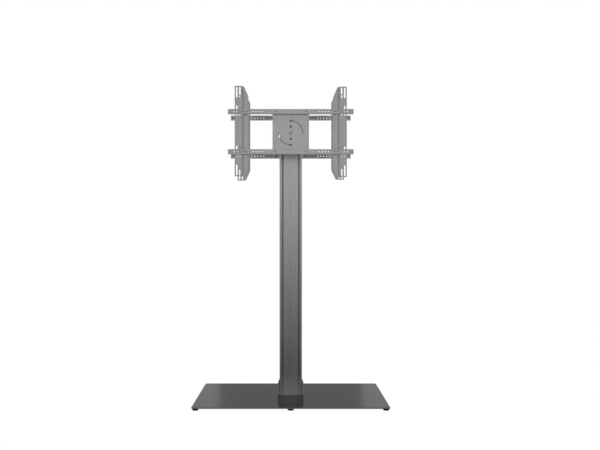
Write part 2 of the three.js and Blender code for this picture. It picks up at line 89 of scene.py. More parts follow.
# Feet. Each rib under a pad is a share of the tread's radius and a share of the pad's edge as its rise.
STUD_RADIUS = 4 * MM
STUD_SOCKET_SHARE = 0.8
PAD_BOTTOM_RADIUS = 13 * MM
PAD_EDGE = 1.2 * MM
PAD_RIM = 2.5 * MM
PAD_RIM_EDGE_SHARE = 0.5
PAD_LIP_SHARE = 0.3
PAD_LIP_TURN_SHARE = 0.6
TREAD_SHARE = 0.45
TREAD_RIB_SHARES = ((0.8, 0.6), (0.86, 0), (1, 0), (1.05, 0.5), (1.25, 0.5), (1.3, 0))

# Cheeks at the column's foot, and their welds
CHEEK_TOP_THICKNESS = 1.5 * MM
CHEEK_BEVEL_HEIGHT = 18 * MM
CHEEK_CORNER = 4 * MM
WELD_RADIUS = 2.6 * MM
WELD_STEPS = 64
WELD_RIPPLES = 26
WELD_RIPPLE_SHARE = 0.07
WELD_END_SHARE = 0.35
WELD_END_SLOPE = 12

# Column extrusion. A pair is a width and a depth.
FLANK = (10.5 * MM, 25 * MM)
SLOT_SPACING = 80 * MM
SLOT_MOUTH = 8.6 * MM
SLOT_CAVITY = (15 * MM, 8 * MM)
SLOT_LIP = 5 * MM
DUCT = (60 * MM, 29.5 * MM)
WEB = 2.5 * MM
COLUMN_WALL = 3.5 * MM
COLUMN_FILLET = 0.5 * MM
COLUMN_END_EDGE = 0.2 * MM
CHAMBER_CORNER = 1.5 * MM

# Cover strips. A pair is a width and a depth.
COVER_THICKNESS = 2 * MM
COVER_LEG = 2 * MM
COVER_LEG_PLAY = 1.6 * MM
COVER_BARB = (1.2 * MM, 3 * MM)
COVER_GROOVE = (2.4 * MM, 1.4 * MM)
COVER_FILLET = 0.3 * MM

# Top cap
CAP_THICKNESS = 3 * MM
CAP_EDGE = 1.2 * MM
CAP_PLUG_PLAY = 0.5 * MM

# Carriage. The window is a width and a height.
CARRIAGE_SHEET = 4 * MM
CARRIAGE_BEND = 6 * MM
CARRIAGE_LIP = 22 * MM
CARRIAGE_CORNER = 4 * MM
CARRIAGE_WINDOW = (18 * MM, 46 * MM)
CARRIAGE_WINDOW_CORNER = 6 * MM
CLAMP_SPACING = 100 * MM

# Clamps and bolts. A hexagon's shares are its flat's radius and how far its corners are turned down
# halfway up the chamfer. A pivot's or guide's head is its radius and its collar's height.
CLAMP_BAR_DEPTH = 5 * MM
CLAMP_BAR_PLAY = 1 * MM
CLAMP_STUD_RADIUS = 3.6 * MM
CLAMP_NUT_APOTHEM = 6.5 * MM
NUT_HEIGHT = 6 * MM
NUT_BLOCK_CORNER = 1 * MM
THREAD_PITCH = 1.25 * MM
THREAD_DEPTH = 0.45 * MM
HEAD_EDGE = 0.5 * MM
HEAD_HEIGHT = 5 * MM
HEAD_CENTRE_SHARE = 0.5
SOCKET_DEPTH_SHARE = 0.55
SOCKET_SHARE = 0.5
APOTHEM_SHARE = 0.866
HEX_EDGE_SHARE = 0.6
HEX_NUT_SHARES = (1, 0.4)
HEX_HEAD_SHARES = (0.92, 0.5)
PIVOT_SHANK = 5 * MM
GUIDE_SHANK = 2.5 * MM
CHEEK_SHANK = 3 * MM
CHEEK_HEAD_SHARE = 0.67
SLIDE_SHANK = 3 * MM
SLIDE_HEAD_APOTHEM = 5.2 * MM
SLIDE_NUT = (14 * MM, 18 * MM, 5.5 * MM)
PIVOT_HEAD = (5 * MM, 4 * MM)
GUIDE_HEAD = (4.6 * MM, 1.5 * MM)

# Centre plate
GUIDE_RADIUS = 58 * MM
ACCESS_HOLE_RADIUS = 4.8 * MM
ACCESS_HOLE_HEIGHT = 29 * MM
HEAD_CORNER = 5 * MM

# Rails
RAIL_SHEET = 2 * MM
RAIL_BEND = 3 * MM
RAIL_MOUTH = 6.8 * MM
RAIL_BOLT_SPACING = 150 * MM
PERFORATION_RADIUS = 2.9 * MM
PERFORATION_PITCH = 15 * MM
PERFORATION_END_INSET = 30.5 * MM
PERFORATION_COUNT = 10

# Arms. A display slot is how far it lies from the arm's middle, and its length.
ARM_SHEET = 2.5 * MM
ARM_BEND = 3.6 * MM
ARM_FLANGE_WIDTH = 35 * MM
ARM_CHAMFER = (21.6 * MM, 46.4 * MM)
ARM_CORNER = 2 * MM
ARM_CHAMFER_CORNER = 2 * MM
ARM_WINDOW_PLAY = 1.2 * MM
ARM_WINDOW_MARGIN = 0.6 * MM
ARM_CLAMP_INSET = 11.5 * MM
DISPLAY_SLOT_WIDTH = 7 * MM
DISPLAY_SLOTS = ((97 * MM, 54 * MM), (186.5 * MM, 51 * MM))
DISPLAY_COLUMN_INSETS = (10 * MM, 25 * MM)

# Finishes. A scale counts a noise's waves in a metre, and a relief is such a scale and a depth.
NOISE_SPAN = (0.3, 0.7)
SOFT_DETAIL = 3
PEEL_DETAIL = 2
GRAIN_DETAIL = 4
BLOTCH_DETAIL = 5
MOTTLE_SCALE = 45
GLOSS_SCALE = 120
DRAWN_SCALES = (900, 900, 1.5)
DRAWN_DEPTH = 0.015 * MM
DRAWN_SHADE_SHARE = 0.03
GRAIN_SHADE_SHARE = 0.8
BLOTCH_SHADE_SHARE = 1.5
PLAIN_SHINE = 0.5
BOLT_METALLIC = 0.6
BASE_PAINT = {"tone": (0.045, 0.045, 0.047), "roughness": (0.13, 0.18), "relief": (260, 0.004 * MM),
              "shade_share": 0.06, "shine": 1}
STEEL_PAINT = {"tone": (0.33, 0.33, 0.332), "roughness": (0.46, 0.56), "relief": (750, 0.05 * MM),
               "shade_share": 0.02}
COLUMN_METAL = {"tone": (0.35, 0.35, 0.354), "roughness": (0.42, 0.52)}
COVER_METAL = {"tone": (0.335, 0.335, 0.339), "roughness": (0.46, 0.56)}
RUBBER = {"tone": (0.02, 0.02, 0.02), "roughness": (0.7, 0.9), "relief": (900, 0.05 * MM), "shine": 0.15}
GREY_PLASTIC = {"tone": (0.26, 0.26, 0.265), "roughness": (0.5, 0.65), "relief": (1400, 0.03 * MM)}
BLACK_PLASTIC = {"tone": (0.03, 0.03, 0.032), "roughness": (0.45, 0.6), "relief": (1400, 0.03 * MM)}
BOLT_STEEL = {"tone": (0.1, 0.1, 0.102), "roughness": (0.28, 0.42), "relief": (400, 0.02 * MM)}

# Studio, in metres. The floor turns from shadowed to plain white between two distances.
WHITE = (1, 1, 1, 1)
FLOOR_SIZE = 40.0
FLOOR_FADE = (0.8, 1.6)
FLOOR_GLOW = 0.93
FLOOR_TONE = 0.35
FLOOR_BOUNCE_TONE = 0.45
STUDIO_WALL_RADIUS = 6.0
STUDIO_WALL_HEIGHT = 4.5
STUDIO_WALL_TONE = 0.43
STUDIO_CARD_HALF = 0.9
STUDIO_CARD_PLACE_SHARE = 0.97
STUDIO_CARD_TONE = 0.23

# Lamps. A lamp is its rise in degrees and its power. A beam is its target's height, cone and radius.
LAMP_DISTANCE = 2.8
LAMP_SPREAD = 26
LAMP_BLEND = 0.86
MOUNT_BEAM = (1.32, math.radians(34.5), 0.5)
COLUMN_BEAM = (1.08, math.radians(31), 0.5)
FOOT_BEAM = (-0.03, math.radians(6.5), 0.06)
MAIN_LAMP = (14, 78)
LOW_LAMP = (-14, 66)
HIGH_LAMP = (42, 20)
SIDE_LAMP = (4, 85)
FOOT_LAMP = (6, 62)
AMBIENT_TONE = 0.22

# Camera
CAMERA_PLACE = (0.0, -3.727, 0.753)
CAMERA_LENS = 45.68
CAMERA_SHIFT = (0.0154, 0.0314)

BODIES = frame["record"]["behaviour"]["bodies"]
BODY_OF = {node: body for body, members in BODIES.items() for node in members}
SLOT_OF = {part["node"]: part["material_slot"] for part in frame["record"]["subparts"]}


# Outlines

def arc(centre, radii, start, end, steps=ARC_STEPS):
    """Points on an elliptical arc, with both ends."""
    points = []
    for index in range(steps + 1):
        angle = start + (end - start) * index / steps
        points.append((centre[0] + radii[0] * math.cos(angle), centre[1] + radii[1] * math.sin(angle)))
    return points


def circle(centre, radius, steps=HOLE_STEPS):
    """A closed round outline."""
    return arc(centre, (radius, radius), 0, FULL_TURN, steps)[:-1]


def rounded_rectangle(low, high, corner, steps=ARC_STEPS):
    """A rectangle between two corners, with elliptical corners."""
    points = []
    for turn, (x, y) in enumerate(((high[0] - corner[0], high[1] - corner[1]),
                                   (low[0] + corner[0], high[1] - corner[1]),
                                   (low[0] + corner[0], low[1] + corner[1]),
                                   (high[0] - corner[0], low[1] + corner[1]))):
        points += arc((x, y), corner, turn * QUARTER, (turn + 1) * QUARTER, steps)
    return points


def upright_slot(x, y, width, length):
    """A slot with round ends along Y."""
    half = width / 2
    reach = length / 2 - half
    return (arc((x, y + reach), (half, half), 0, math.pi)
            + arc((x, y - reach), (half, half), math.pi, FULL_TURN))


def curved_slot(radius, width, start, end):
    """A slot with round ends along an arc about the origin."""
    half = width / 2
    first = (radius * math.cos(start), radius * math.sin(start))
    last = (radius * math.cos(end), radius * math.sin(end))
    return (arc((0, 0), (radius + half,) * 2, start, end, ARC_STEPS * 2)
            + arc(last, (half, half), end, end + math.pi)[1:-1]
            + arc((0, 0), (radius - half,) * 2, end, start, ARC_STEPS * 2)
            + arc(first, (half, half), start + math.pi, start + FULL_TURN)[1:-1])


def filleted(corners, radius, steps=FILLET_STEPS):
    """A closed outline, its corners rounded as far as its sides allow. A corner may give its own radius."""
    points = []
    for index, corner in enumerate(corners):
        here = Vector(corner[:2])
        size = corner[2] if len(corner) > 2 else radius
        before = Vector(corners[index - 1][:2]) - here
        after = Vector(corners[(index + 1) % len(corners)][:2]) - here
        opening = before.angle(after)
        if opening > STRAIGHT_ANGLE or size == 0:
            points.append(tuple(here))
            continue
        reach = min(size / math.tan(opening / 2), min(before.length, after.length) * EDGE_REACH_SHARE)
        size = reach * math.tan(opening / 2)
        inwards = (before.normalized() + after.normalized()).normalized()
        centre = here + inwards * size / math.sin(opening / 2)
        first = here + before.normalized() * reach - centre
        last = here + after.normalized() * reach - centre
        start = math.atan2(first.y, first.x)
        turn = (math.atan2(last.y, last.x) - start + math.pi) % FULL_TURN - math.pi
        points += arc(centre, (size, size), start, start + turn, steps)
    return points


def turned_left(loop, left):
    """The loop in the wanted sense, without points that repeat."""
    every = [Vector(point[:2]) for point in loop]
    points = [point for index, point in enumerate(every) if (point - every[index - 1]).length > SAME_POINT]
    area = sum(points[index - 1].cross(point) for index, point in enumerate(points))
    return points if (area > 0) == left else points[::-1]


def inset(loop, distance):
    """The loop moved to its left."""
    points = []
    for index, here in enumerate(loop):
        into = (here - loop[index - 1]).normalized()
        away = (loop[(index + 1) % len(loop)] - here).normalized()
        sides = Vector((-into.y - away.y, into.x + away.x))
        points.append(here + sides * distance / (1 + into.dot(away)))
    return points


# Solids

def slab(outer, holes, low, high, edge):
    """A plate between two heights, with holes, and with the edges of both faces rounded."""
    loops = [turned_left(outer, True)] + [turned_left(hole, False) for hole in holes]
    rounding = [(0.0, 0.0)]
    if edge:
        angles = [QUARTER * index / EDGE_STEPS for index in range(EDGE_STEPS + 1)]
        rounding = [(edge * (1 - math.sin(angle)), edge * (1 - math.cos(angle))) for angle in angles]
    levels = [(shift, low + rise) for shift, rise in rounding]
    levels += [(shift, high - rise) for shift, rise in reversed(rounding)]
    solid = bmesh.new()
    cap = solid.faces.layers.int.new("cap")
    grid = []
    for shift, height in levels:
        grid.append([[solid.verts.new((*point, height)) for point in inset(loop, shift)] for loop in loops])
    for lower, upper in zip(grid, grid[1:]):
        for under, over in zip(lower, upper):
            for index in range(len(under)):
                solid.faces.new((under[index - 1], under[index], over[index], over[index - 1]))
    for level in (grid[0], grid[-1]):
        flat = [vert for ring in level for vert in ring]
        for triangle in tessellate_polygon([[vert.co for vert in ring] for ring in level]):
            solid.faces.new([flat[index] for index in triangle])[cap] = 1
    bmesh.ops.recalc_face_normals(solid, faces=solid.faces)
    return solid


def turned(levels, steps=TURNED_STEPS):
    """A solid of rings along Z. A level is a height and a radius, which may be a function of the angle."""
    solid = bmesh.new()
    cap = solid.faces.layers.int.new("cap")
    rings = []
    for height, radius in levels:
        ring = []
        for index in range(steps):
            angle = FULL_TURN * index / steps
            reach = radius(angle) if callable(radius) else radius
            ring.append(solid.verts.new((reach * math.cos(angle), reach * math.sin(angle), height)))
        rings.append(ring)
    for under, over in zip(rings, rings[1:]):
        for index in range(steps):
            solid.faces.new((under[index - 1], under[index], over[index], over[index - 1]))
    solid.faces.new(rings[0])[cap] = 1
    solid.faces.new(rings[-1])[cap] = 1
    bmesh.ops.recalc_face_normals(solid, faces=solid.faces)
    return solid


def hexagon(apothem, limit=None):
    """A hexagon as a radius for each angle, with its corners turned down to a limit."""
    def radius(angle):
        within = (angle + math.pi / 6) % (math.pi / 3) - math.pi / 6
        reach = apothem / math.cos(within)
        return min(reach, limit) if limit else reach
    return radius


def as_levels(points):
    """An outline's points, drawn as radius and height, as levels to turn."""
    return [(height, radius) for radius, height in points]


def thread(low, high, radius):
    """Levels of a threaded stretch, from one height to another."""
    count = max(1, round(abs(high - low) / THREAD_PITCH))
    pitch = (high - low) / count
    levels = []
    for index in range(count):
        levels.append((low + pitch * index, radius - THREAD_DEPTH))
        levels.append((low + pitch * index + pitch / 2, radius))
    levels.append((high, radius - THREAD_DEPTH))
    return levels


def joined(*solids):
    """Several solids as one mesh."""
    whole = solids[0]
    for part in solids[1:]:
        carrier = bpy.data.meshes.new("carrier")
        part.to_mesh(carrier)
        part.free()
        whole.from_mesh(carrier)
        bpy.data.meshes.remove(carrier)
    return whole


def moved(solid, x=0.0, y=0.0, z=0.0):
    """The solid at another place."""
    bmesh.ops.translate(solid, verts=solid.verts, vec=(x, y, z))
    return solid


def cut_across(solid, distance, direction):
    """Splits the faces that cross a plane, so that they can bend there."""
    everything = solid.verts[:] + solid.edges[:] + solid.faces[:]
    point = Vector(direction) * distance
    bmesh.ops.bisect_plane(solid, geom=everything, plane_co=point, plane_no=direction)


def channel_sections(lip, wall, front, bend):
    """The sections of a lipped channel: a lip, a side wall, the front wall, a side wall and a lip."""
    fold = (bend, -QUARTER)
    return [(lip, 0), fold, (wall, 0), fold, (front, 0), fold, (wall, 0), fold, (lip, 0)]


def flat_length(sections):
    """How long a sheet is before it is folded."""
    return sum(length for length, turn in sections)


def folded(solid, sections, start, heading):
    """Folds a flat sheet along X. A section is a length at mid thickness and the angle that it turns."""
    reached = 0.0
    for length, turn in sections:
        if turn:
            cut_across(solid, reached - FOLD_MARGIN, (1, 0, 0))
            for index in range(FOLD_STEPS + 1):
                cut_across(solid, reached + length * index / FOLD_STEPS, (1, 0, 0))
            cut_across(solid, reached + length + FOLD_MARGIN, (1, 0, 0))
        reached += length
    for vert in solid.verts:
        left = vert.co.x
        x, z = start
        angle = heading
        for length, turn in sections:
            part = min(left, length)
            if turn:
                radius = length / turn
                ahead = angle + part / radius
                x += radius * (math.sin(ahead) - math.sin(angle))
                z -= radius * (math.cos(ahead) - math.cos(angle))
                angle = ahead
            else:
                x += part * math.cos(angle)
                z += part * math.sin(angle)
            left -= part
            if left <= 0:
                break
        out = vert.co.z
        vert.co = (x - out * math.sin(angle), vert.co.y, z + out * math.cos(angle))
    return solid


# Turning the solids' own axes into the frame's

PIVOT_LOW, PIVOT_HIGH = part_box("front_pivot_bolt")
COLUMN_LOW, COLUMN_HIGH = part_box("column")
COLUMN_HALF_WIDTH = (COLUMN_HIGH.x - COLUMN_LOW.x) / 2
COLUMN_FACE = (COLUMN_HIGH.y - COLUMN_LOW.y) / 2
SETBACK = (COLUMN_LOW.y + COLUMN_HIGH.y) / 2
PIVOT_HEIGHT = (PIVOT_LOW.z + PIVOT_HIGH.z) / 2
OUTWARDS = Matrix(((1, 0, 0, 0), (0, 0, -1, 0), (0, 1, 0, 0), (0, 0, 0, 1)))
AT_COLUMN = Matrix.Translation((0, SETBACK, 0))
HALF_TURN = Matrix.Rotation(math.pi, 4, "Z")
AT_PIVOT = Matrix.Translation((0, SETBACK, PIVOT_HEIGHT))
MOUNT_FRAMES = {"front": AT_PIVOT @ OUTWARDS, "rear": AT_PIVOT @ HALF_TURN @ OUTWARDS}


def mount_box(node):
    """The box of a node of the front mount, as X, height and depth from the column's middle."""
    low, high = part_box(node)
    return ((low.x, low.z - PIVOT_HEIGHT, SETBACK - high.y),
            (high.x, high.z - PIVOT_HEIGHT, SETBACK - low.y))


def place(name, solid, matrix, node, slot=None):
    """Makes a solid a piece that stands for a node, rides on its body and has its slot or another one."""
    solid.transform(matrix)
    bmesh.ops.recalc_face_normals(solid, faces=solid.faces)
    cap = solid.faces.layers.int["cap"]
    for edge in solid.edges:
        sides = edge.link_faces
        rim = len(sides) == 2 and sides[0][cap] != sides[1][cap]
        edge.smooth = not rim and edge.calc_face_angle(0) < SHARP_ANGLE
    for face in solid.faces:
        face.smooth = True
    solid.faces.layers.int.remove(cap)
    mesh = bpy.data.meshes.new(name)
    solid.to_mesh(mesh)
    solid.free()
    mesh.materials.append(FINISHES[slot or SLOT_OF[node]])
    piece = bpy.data.objects.new(name, mesh)
    bpy.context.scene.collection.objects.link(piece)
    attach(piece, BODY_OF[node])
    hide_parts(node)


# Materials

def node_material(name):
    """A new material with its node tree, its shader and the object's own coordinates."""
    material = bpy.data.materials.new(name)
    material.use_nodes = True
    tree = material.node_tree
    shader = tree.nodes["Principled BSDF"]
    coordinates = tree.nodes.new("ShaderNodeTexCoord")
    return material, tree, shader, coordinates.outputs["Object"]


def new_node(tree, kind, values, links):
    """A new node, with values for some of its inputs and links to others."""
    node = tree.nodes.new(kind)
    for name, value in values.items():
        node.inputs[name].default_value = value
    for name, source in links.items():
        tree.links.new(source, node.inputs[name])
    return node


def noise(tree, vector, scale, detail=SOFT_DETAIL):
    """A noise texture's value."""
    values = {"Scale": scale, "Detail": detail}
    return new_node(tree, "ShaderNodeTexNoise", values, {"Vector": vector}).outputs["Fac"]


def stretched(tree, vector, scale):
    """Coordinates scaled along each axis."""
    return new_node(tree, "ShaderNodeMapping", {"Scale": scale}, {"Vector": vector}).outputs["Vector"]


def ramp(tree, value, low, high):
    """A value between two ends that follows a noise."""
    values = {"From Min": NOISE_SPAN[0], "From Max": NOISE_SPAN[1], "To Min": low, "To Max": high}
    return new_node(tree, "ShaderNodeMapRange", values, {"Value": value}).outputs["Result"]


def tint(tree, value, dark, pale):
    """A colour between two tones."""
    node = tree.nodes.new("ShaderNodeMix")
    node.data_type = "RGBA"
    node.inputs["A"].default_value = (*dark, 1)
    node.inputs["B"].default_value = (*pale, 1)
    tree.links.new(value, node.inputs["Factor"])
    return node.outputs["Result"]


def bump(tree, shader, height, distance):
    """Adds a bump to a shader."""
    node = new_node(tree, "ShaderNodeBump", {"Distance": distance}, {"Height": height})
    tree.links.new(node.outputs["Normal"], shader.inputs["Normal"])


def shaded(tone, share):
    """A tone made darker or paler by a share."""
    return [channel * share for channel in tone]


def powder_coat(name, tone, roughness, relief, shade_share, shine=PLAIN_SHINE):
    """Paint with a faint mottle, an uneven gloss and an orange-peel surface."""
    material, tree, shader, vector = node_material(name)
    shader.inputs["Specular IOR Level"].default_value = shine
    mottle = noise(tree, vector, MOTTLE_SCALE)
    colour = tint(tree, mottle, shaded(tone, 1 - shade_share), shaded(tone, 1 + shade_share))
    tree.links.new(colour, shader.inputs["Base Color"])
    tree.links.new(ramp(tree, noise(tree, vector, GLOSS_SCALE), *roughness), shader.inputs["Roughness"])
    scale, depth = relief
    bump(tree, shader, noise(tree, vector, scale, PEEL_DETAIL), depth)
    return material


def drawn_metal(name, tone, roughness):
    """Satin aluminium with the fine lines that the extrusion die leaves along its length."""
    material, tree, shader, vector = node_material(name)
    lines = noise(tree, stretched(tree, vector, DRAWN_SCALES), 1, GRAIN_DETAIL)
    colour = tint(tree, lines, shaded(tone, 1 - DRAWN_SHADE_SHARE), shaded(tone, 1 + DRAWN_SHADE_SHARE))
    tree.links.new(colour, shader.inputs["Base Color"])
    tree.links.new(ramp(tree, lines, *roughness), shader.inputs["Roughness"])
    bump(tree, shader, lines, DRAWN_DEPTH)
    return material


def moulded(name, tone, roughness, relief, shine=PLAIN_SHINE):
    """Moulded rubber or plastic with a fine grain."""
    material, tree, shader, vector = node_material(name)
    shader.inputs["Specular IOR Level"].default_value = shine
    scale, depth = relief
    grain = noise(tree, vector, scale, GRAIN_DETAIL)
    tree.links.new(tint(tree, grain, shaded(tone, GRAIN_SHADE_SHARE), tone), shader.inputs["Base Color"])
    tree.links.new(ramp(tree, grain, *roughness), shader.inputs["Roughness"])
    bump(tree, shader, grain, depth)
    return material


def blackened_steel(name, tone, roughness, relief):
    """Oiled black steel."""
    material, tree, shader, vector = node_material(name)
    scale, depth = relief
    blotches = noise(tree, vector, scale, BLOTCH_DETAIL)
    colour = tint(tree, blotches, tone, shaded(tone, BLOTCH_SHADE_SHARE))
    tree.links.new(colour, shader.inputs["Base Color"])
    tree.links.new(ramp(tree, blotches, *roughness), shader.inputs["Roughness"])
    shader.inputs["Metallic"].default_value = BOLT_METALLIC
    bump(tree, shader, blotches, depth)
    return material


FINISHES = {
    "base_paint": powder_coat("base_gloss_coat", **BASE_PAINT),
    "steel_paint": powder_coat("steel_satin_coat", **STEEL_PAINT),
    "anodised_column": drawn_metal("column_satin", **COLUMN_METAL),
    "cover_strip": drawn_metal("cover_satin", **COVER_METAL),
    "rubber": moulded("foot_rubber", **RUBBER),
    "grey_plastic": moulded("grey_plastic", **GREY_PLASTIC),
    "black_plastic": moulded("black_plastic", **BLACK_PLASTIC),
    "dark_bolt": blackened_steel("black_bolt_steel", **BOLT_STEEL),
}


# Base

FEET = [node for node in frame["nodes"] if node.startswith("foot_")]


def base_plate():
    low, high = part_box("base_plate")
    holes = []
    for node in FEET:
        foot_low, foot_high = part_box(node)
        holes.append(circle((foot_low + foot_high) / 2, STUD_RADIUS + HOLE_GAP))
    outline = rounded_rectangle(low, high, (PLATE_CORNER, PLATE_CORNER))
    plate = slab(outline, holes, low.z, high.z, PLATE_EDGE)
    place("base_plate_coated", plate, Matrix(), "base_plate")


def foot(node):
    """A tapered pad with a ribbed tread and a lipped rim, and its threaded stud."""
    low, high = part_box(node)
    middle = (low + high) / 2
    centre = Matrix.Translation((middle.x, middle.y, 0))
    top_radius = (high.x - low.x) / 2
    rim_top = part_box("base_plate")[0].z - SEAT_GAP
    tread = PAD_BOTTOM_RADIUS * TREAD_SHARE
    rim_edge = PAD_EDGE * PAD_RIM_EDGE_SHARE
    lip = PAD_EDGE * PAD_LIP_SHARE
    inner = top_radius - rim_edge
    edge_middle = (PAD_BOTTOM_RADIUS - PAD_EDGE, PAD_EDGE)
    levels = [(PAD_EDGE * rise_share, tread * reach_share) for reach_share, rise_share in TREAD_RIB_SHARES]
    levels += as_levels(arc(edge_middle, (PAD_EDGE,) * 2, -QUARTER, 0, PAD_STEPS))
    levels.append((rim_top - PAD_RIM, top_radius - lip))
    levels += as_levels(arc((inner, rim_top - PAD_RIM + lip), (rim_edge, lip),
                            -QUARTER * PAD_LIP_TURN_SHARE, 0, EDGE_STEPS))
    levels += as_levels(arc((inner, rim_top - rim_edge), (rim_edge,) * 2, 0, QUARTER, FILLET_STEPS))
    levels.append((rim_top, STUD_RADIUS))
    place(node + "_pad", turned(levels, DISC_STEPS), centre, node)
    socket = hexagon(STUD_RADIUS * SOCKET_SHARE)
    levels = thread(rim_top - lip, high.z - HEAD_EDGE, STUD_RADIUS)
    levels.append((high.z, STUD_RADIUS - HEAD_EDGE - THREAD_DEPTH))
    levels += [(high.z, socket), (high.z - STUD_RADIUS * STUD_SOCKET_SHARE, socket)]
    place(node + "_stud", turned(levels), centre, node, "dark_bolt")


# Column

def column_outline():
    """The extrusion's outline. One quarter is written out, and the rest mirrors it."""
    middle = SLOT_SPACING / 2
    mouth = SLOT_MOUTH / 2
    cavity = SLOT_CAVITY[0] / 2
    lip_back = COLUMN_FACE - SLOT_LIP
    cavity_back = lip_back - SLOT_CAVITY[1]
    land = COLUMN_FACE - COVER_THICKNESS - SEAT_GAP
    flank_middle = (COLUMN_HALF_WIDTH - FLANK[0], COLUMN_FACE - FLANK[1])
    quarter = [(x, y, 0) for x, y in arc(flank_middle, FLANK, 0, QUARTER, ARC_STEPS * 2)]
    quarter += [
        (middle + mouth, COLUMN_FACE),
        (middle + mouth, lip_back),
        (middle + cavity, lip_back),
        (middle + cavity, cavity_back),
        (middle - cavity, cavity_back),
        (middle - cavity, lip_back),
        (middle - mouth, lip_back),
        (middle - mouth, land),
        (DUCT[0] / 2, land),
        (DUCT[0] / 2, COLUMN_FACE - DUCT[1]),
    ]
    left = [(-point[0], *point[1:]) for point in reversed(quarter)]
    upper = quarter + left
    lower = [(point[0], -point[1], *point[2:]) for point in reversed(upper)]
    return filleted(upper + lower, COLUMN_FILLET)


def chamber(side, play=0):
    """The outline of the closed chamber beside the ducts, or of a plug that goes into it with some play."""
    inner = DUCT[0] / 2 + WEB + play
    outer = COLUMN_HALF_WIDTH - COLUMN_WALL - play
    reach = COLUMN_FACE - SLOT_LIP - SLOT_CAVITY[1] - WEB - play
    near, far = sorted((side * inner, side * outer))
    return rounded_rectangle((near, -reach), (far, reach), (CHAMBER_CORNER,) * 2, FILLET_STEPS)


def column():
    half = DUCT[0] / 2
    core = COLUMN_FACE - DUCT[1] - WEB
    between = rounded_rectangle((-half, -core), (half, core), (CHAMBER_CORNER,) * 2, FILLET_STEPS)
    holes = [chamber(1), chamber(-1), between]
    extrusion = slab(column_outline(), holes, COLUMN_LOW.z, COLUMN_HIGH.z, COLUMN_END_EDGE)
    place("column_extrusion", extrusion, AT_COLUMN, "column")


def cover_strip(node, matrix):
    """A cover with two barbed legs and a fine groove, drawn about the column's middle line."""
    low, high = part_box("front_cover_strip")
    half = (high.x - low.x) / 2
    front = SETBACK - low.y
    back = front - COVER_THICKNESS
    leg_end = SETBACK - high.y
    leg_outer = DUCT[0] / 2 - COVER_LEG_PLAY
    leg_inner = leg_outer - COVER_LEG
    groove = COVER_GROOVE[0] / 2
    side = [
        (groove, front - COVER_GROOVE[1]),
        (groove, front),
        (half, front),
        (half, back),
        (leg_outer, back),
        (leg_outer, leg_end + COVER_BARB[1]),
        (leg_outer + COVER_BARB[0], leg_end + COVER_BARB[1]),
        (leg_outer, leg_end),
        (leg_inner, leg_end),
        (leg_inner, back),
    ]
    corners = side + [(-x, y) for x, y in reversed(side)]
    strip = slab(filleted(corners, COVER_FILLET), [], low.z, high.z, COLUMN_END_EDGE)
    facing = Matrix.Scale(-1, 4, (0, 1, 0))
    place(node + "_drawn", strip, AT_COLUMN @ matrix @ facing, node)


def top_cap():
    """A lid of the column's outline, with a plug in each chamber."""
    low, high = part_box("column_top_cap")
    near = (COLUMN_LOW.x, low.y - SETBACK)
    far = (COLUMN_HIGH.x, high.y - SETBACK)
    lid_bottom = high.z - CAP_THICKNESS
    solids = [slab(rounded_rectangle(near, far, FLANK, ARC_STEPS * 2), [], lid_bottom, high.z, CAP_EDGE)]
    for side in (-1, 1):
        solids.append(slab(chamber(side, CAP_PLUG_PLAY), [], low.z, lid_bottom + CAP_EDGE, THICK_EDGE))
    place("column_top_cap_moulded", joined(*solids), AT_COLUMN, "column_top_cap")


def weld(length):
    """A fillet weld along Y, with the ripples that its passes leave."""
    levels = []
    for index in range(WELD_STEPS + 1):
        share = index / WELD_STEPS
        ripple = 1 - WELD_RIPPLE_SHARE * abs(math.sin(math.pi * WELD_RIPPLES * share))
        ends = min(1, WELD_END_SLOPE * min(share, 1 - share) + WELD_END_SHARE)
        levels.append((share * length - length / 2, WELD_RADIUS * ripple * ends))
    bead = turned(levels, HOLE_STEPS)
    bead.transform(Matrix.Rotation(QUARTER, 4, "X"))
    return bead


def cheek(hand, side):
    """A cheek beside the column's foot, drawn flat in Y and Z and thinned towards its top, and its weld."""
    node = "column_cheek_" + hand
    low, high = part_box(node)
    holes = []
    for end in ("front", "rear"):
        bolt_low, bolt_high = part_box("cheek_bolt_%s_%s" % (hand, end))
        middle = ((bolt_low.y + bolt_high.y) / 2, (bolt_low.z + bolt_high.z) / 2)
        holes.append(circle(middle, (bolt_high.z - bolt_low.z) / 2 + HOLE_GAP, TURNED_STEPS))
    corners = [(low.y, low.z, 0), (high.y, low.z, 0)]
    corners += [(high.y, high.z, CHEEK_CORNER), (low.y, high.z, CHEEK_CORNER)]
    thickness = high.x - low.x
    plate = slab(filleted(corners, 0, ARC_STEPS), holes, 0, thickness, THICK_EDGE)
    bevel_start = high.z - CHEEK_BEVEL_HEIGHT
    cut_across(plate, bevel_start, (0, 1, 0))
    for vert in plate.verts:
        climbed = max(0.0, vert.co.y - bevel_start) / CHEEK_BEVEL_HEIGHT
        vert.co.z *= 1 - climbed * (1 - CHEEK_TOP_THICKNESS / thickness)
    inner = low.x if side > 0 else high.x
    plate.transform(Matrix(((0, 0, side, inner), (1, 0, 0, 0), (0, 1, 0, 0), (0, 0, 0, 1))))
    bead = moved(weld(high.y - low.y), inner + side * thickness, (low.y + high.y) / 2, low.z)
    place(node + "_welded", joined(plate, bead), Matrix(), node)


